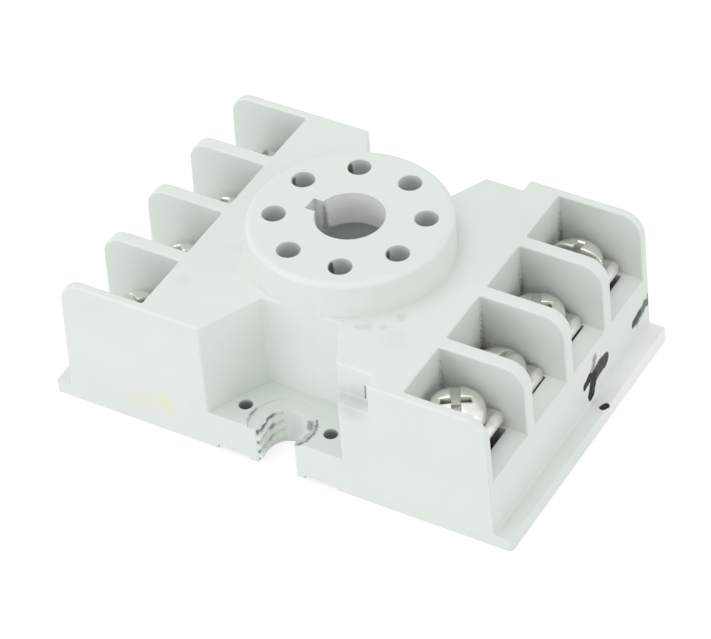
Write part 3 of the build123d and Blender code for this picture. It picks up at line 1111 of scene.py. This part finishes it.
def clamp_surface():
    """Points, faces and painted shade of one clamp, about its hole's axis, with its feet just over
    height 0.

    The top is flat and then falls on a circle of the bend radius towards both ends, less a crease
    where the bend starts and some shallow waves. All round the rim it falls on a second, smaller
    circle, as pressed strip does. The underside steps down from the lifted middle to the lips.
    """
    half_x, half_y = clamp_length / 2, clamp_width / 2
    outer = rounded_outline(half_x, half_y, clamp_corner)
    hole = clamp_hole * outer / np.linalg.norm(outer, axis=1, keepdims=True)
    plan = hole + top_steps[:, None, None] * (outer - hole)
    x, y = plan[..., 0], plan[..., 1]
    start = half_x - bend_radius
    over = np.clip(abs(x) - start, 0, 0.985 * bend_radius)
    bend = bend_radius - np.sqrt(bend_radius ** 2 - over ** 2)
    crease = np.exp(-(((abs(x) - start + crease_set_in) / crease_width) ** 2))
    waves = 0.035 * np.sin(2.1 * x + 1.3) * np.sin(2.7 * y + 0.4) + 0.02 * np.sin(4.6 * x - 3.1 * y)
    to_rim = np.linalg.norm(outer - plan, axis=-1)
    into_rim = np.clip(rim_radius - to_rim, 0, 0.97 * rim_radius)
    rim = rim_radius - np.sqrt(rim_radius ** 2 - into_rim ** 2)
    fall = np.maximum(bend, rim)
    top = np.maximum(clamp_height - fall - crease_depth * crease + waves - wave_room, clamp_lift - 0.1)
    under = np.maximum(clamp_lift * (1 - smooth((abs(x) - half_x + clamp_lip) / lip_step)), foot_gap)
    foot = np.minimum(under[-1] + 0.06, top[-1] - 0.02)
    upper = np.concatenate([plan, top[..., None]], axis=-1)
    edge = np.concatenate([outer, foot[:, None]], axis=-1)[None]
    lower = np.concatenate([plan, under[..., None]], axis=-1)[::-1]
    points = np.concatenate([upper, edge, lower])
    rings, count = points.shape[:2]
    numbers = np.arange(rings * count).reshape(rings, count)
    faces = band_quads(np.vstack([numbers, numbers[:1]]))
    metal_shade = np.zeros((rings, count))
    # Painted shade: the flat top and the far side are darker.
    far_side = far_metal_shade * smooth((y - 2.0) / 1.2)
    metal_shade[:len(top_steps)] = np.maximum(far_side, flat_metal_shade * smooth((start + 0.45 - abs(x)) / 0.55))
    return points.reshape(-1, 3), faces.tolist(), metal_shade.ravel()


clamp_points, clamp_faces, clamp_metal_shade = clamp_surface()
for number in terminal_numbers:
    low, high = (np.array(corner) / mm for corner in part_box(f"clamp_plate_{number}"))
    placed = clamp_points + np.array([(low[0] + high[0]) / 2, (low[1] + high[1]) / 2, low[2]])
    clamp = new_piece(f"wire_clamp_{number}", placed, clamp_faces, "recess", clamp_metal_shade)
    finish_piece(clamp, clamp_plating, f"clamp_{number}", "clamp", f"clamp_plate_{number}")
print("clamps:", len(terminal_numbers), "with", len(clamp_faces), "faces each")

# %% [markdown]
# A mounting screw has been forced past the left wall of the front notch, and its thread has chewed
# the plastic. This piece lies on that wall: a grid that follows the notch's arc and its straight
# side, pushed out by a wavy helix of ridges. Its border dips into the wall, so it needs no trimming.

# %% Chewed notch wall
notch_radius = 2.55
wall_from = math.radians(100)
ridge_pitch = 1.42
ridge_height = 0.42
ridge_shift = 0.3
wall_heights = (0.1, 4.9)
border_sink = 0.1
back_sink = 0.2


def chewed_wall():
    """Points, faces and groove depths of the chewed wall.

    Along the wall, s is a length on the arc and then on the straight side. The push-out is a fade
    at the borders, times a raised cosine of height / pitch + s / turn with some wander, which
    grows towards the front. A second sheet inside the wall closes the piece.
    """
    arc = notch_radius * (math.pi - wall_from)
    straight = notch_axis[1] - front_y - 0.03
    end = arc + straight
    s, z = np.meshgrid(np.linspace(0, end, 90), np.linspace(*wall_heights, 80), indexing="ij")
    angle = wall_from + np.clip(s, 0, arc) / notch_radius
    x = notch_axis[0] + notch_radius * np.cos(angle)
    y = notch_axis[1] + notch_radius * np.sin(angle) - np.clip(s - arc, 0, None)
    wander = 0.55 * np.sin(1.9 * s + 1.3 * z) + 0.4 * np.sin(5.3 * s - 2.9 * z + 1.0)
    phase = 2 * np.pi * ((z + ridge_shift) / ridge_pitch + s / (4 * np.pi * notch_radius)) + wander
    ridge = (0.5 + 0.5 * np.cos(phase)) ** 1.4
    low, high = wall_heights
    fade = smooth(s / 1.6) * smooth((end - s) / 0.2)
    fade = fade * smooth((z - low) / 0.25) * smooth((high - z) / 0.15)
    grow = 0.45 + 0.55 * s / end
    burr = 0.22 * np.exp(-(((s - end + 0.5) / 0.45) ** 2)) * np.exp(-(((z - 0.9) / 0.8) ** 2))
    tear = 0.06 * np.sin(13 * s + 9 * z) * np.sin(11 * z - 5 * s)
    push = fade * (0.05 + grow * ridge_height * ridge + burr + tear) - border_sink * (1 - fade)
    front = np.stack([x - push * np.cos(angle), y - push * np.sin(angle), z], axis=-1)
    back = np.stack([x + back_sink * np.cos(angle), y + back_sink * np.sin(angle), z], axis=-1)
    rows, columns = s.shape
    count = rows * columns
    quads = grid_quads(rows, columns)
    border = grid_border(rows, columns)
    sides = band_quads(np.vstack([border, border + count]))
    faces = np.concatenate([quads, quads[:, ::-1] + count, sides]).tolist()
    worn = 0.50 + 0.35 * np.sin(2.7 * s + 2.1 * z + 0.6) * np.sin(1.7 * z - 1.3 * s)
    worn = worn + 0.45 * smooth((z - 3.6) / 0.7) + 0.25 * smooth((s - end + 1.6) / 1.2)
    groove = fade * grow * worn * (1 - ridge) ** 2
    points = np.concatenate([front.reshape(-1, 3), back.reshape(-1, 3)])
    return points, faces, np.concatenate([groove.ravel(), np.zeros(count)])


wall_points, wall_faces, groove_depth = chewed_wall()
torn_wall = new_piece("chewed_notch_wall", wall_points, wall_faces, "groove", groove_depth)
finish_piece(torn_wall, chewed_plastic(), "base", "housing")
print("chewed wall:", len(wall_faces), "faces")

# %% [markdown]
# What is left of the solid model keeps its own meshes and only takes a finish.

# %% Finishes on the solids
for number in terminal_numbers:
    contact_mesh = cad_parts[f"contact_{number}"].data
    contact_mesh.materials.clear()
    contact_mesh.materials.append(tinned_strip)
cover_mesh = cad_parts["bottom_cover"].data
cover_mesh.materials.clear()
cover_mesh.materials.append(fibre)
print("finishes given to", len(terminal_numbers) + 1, "solids")

# %% [markdown]
# Last, the script reports that it has finished.

# %% End
print("finished")
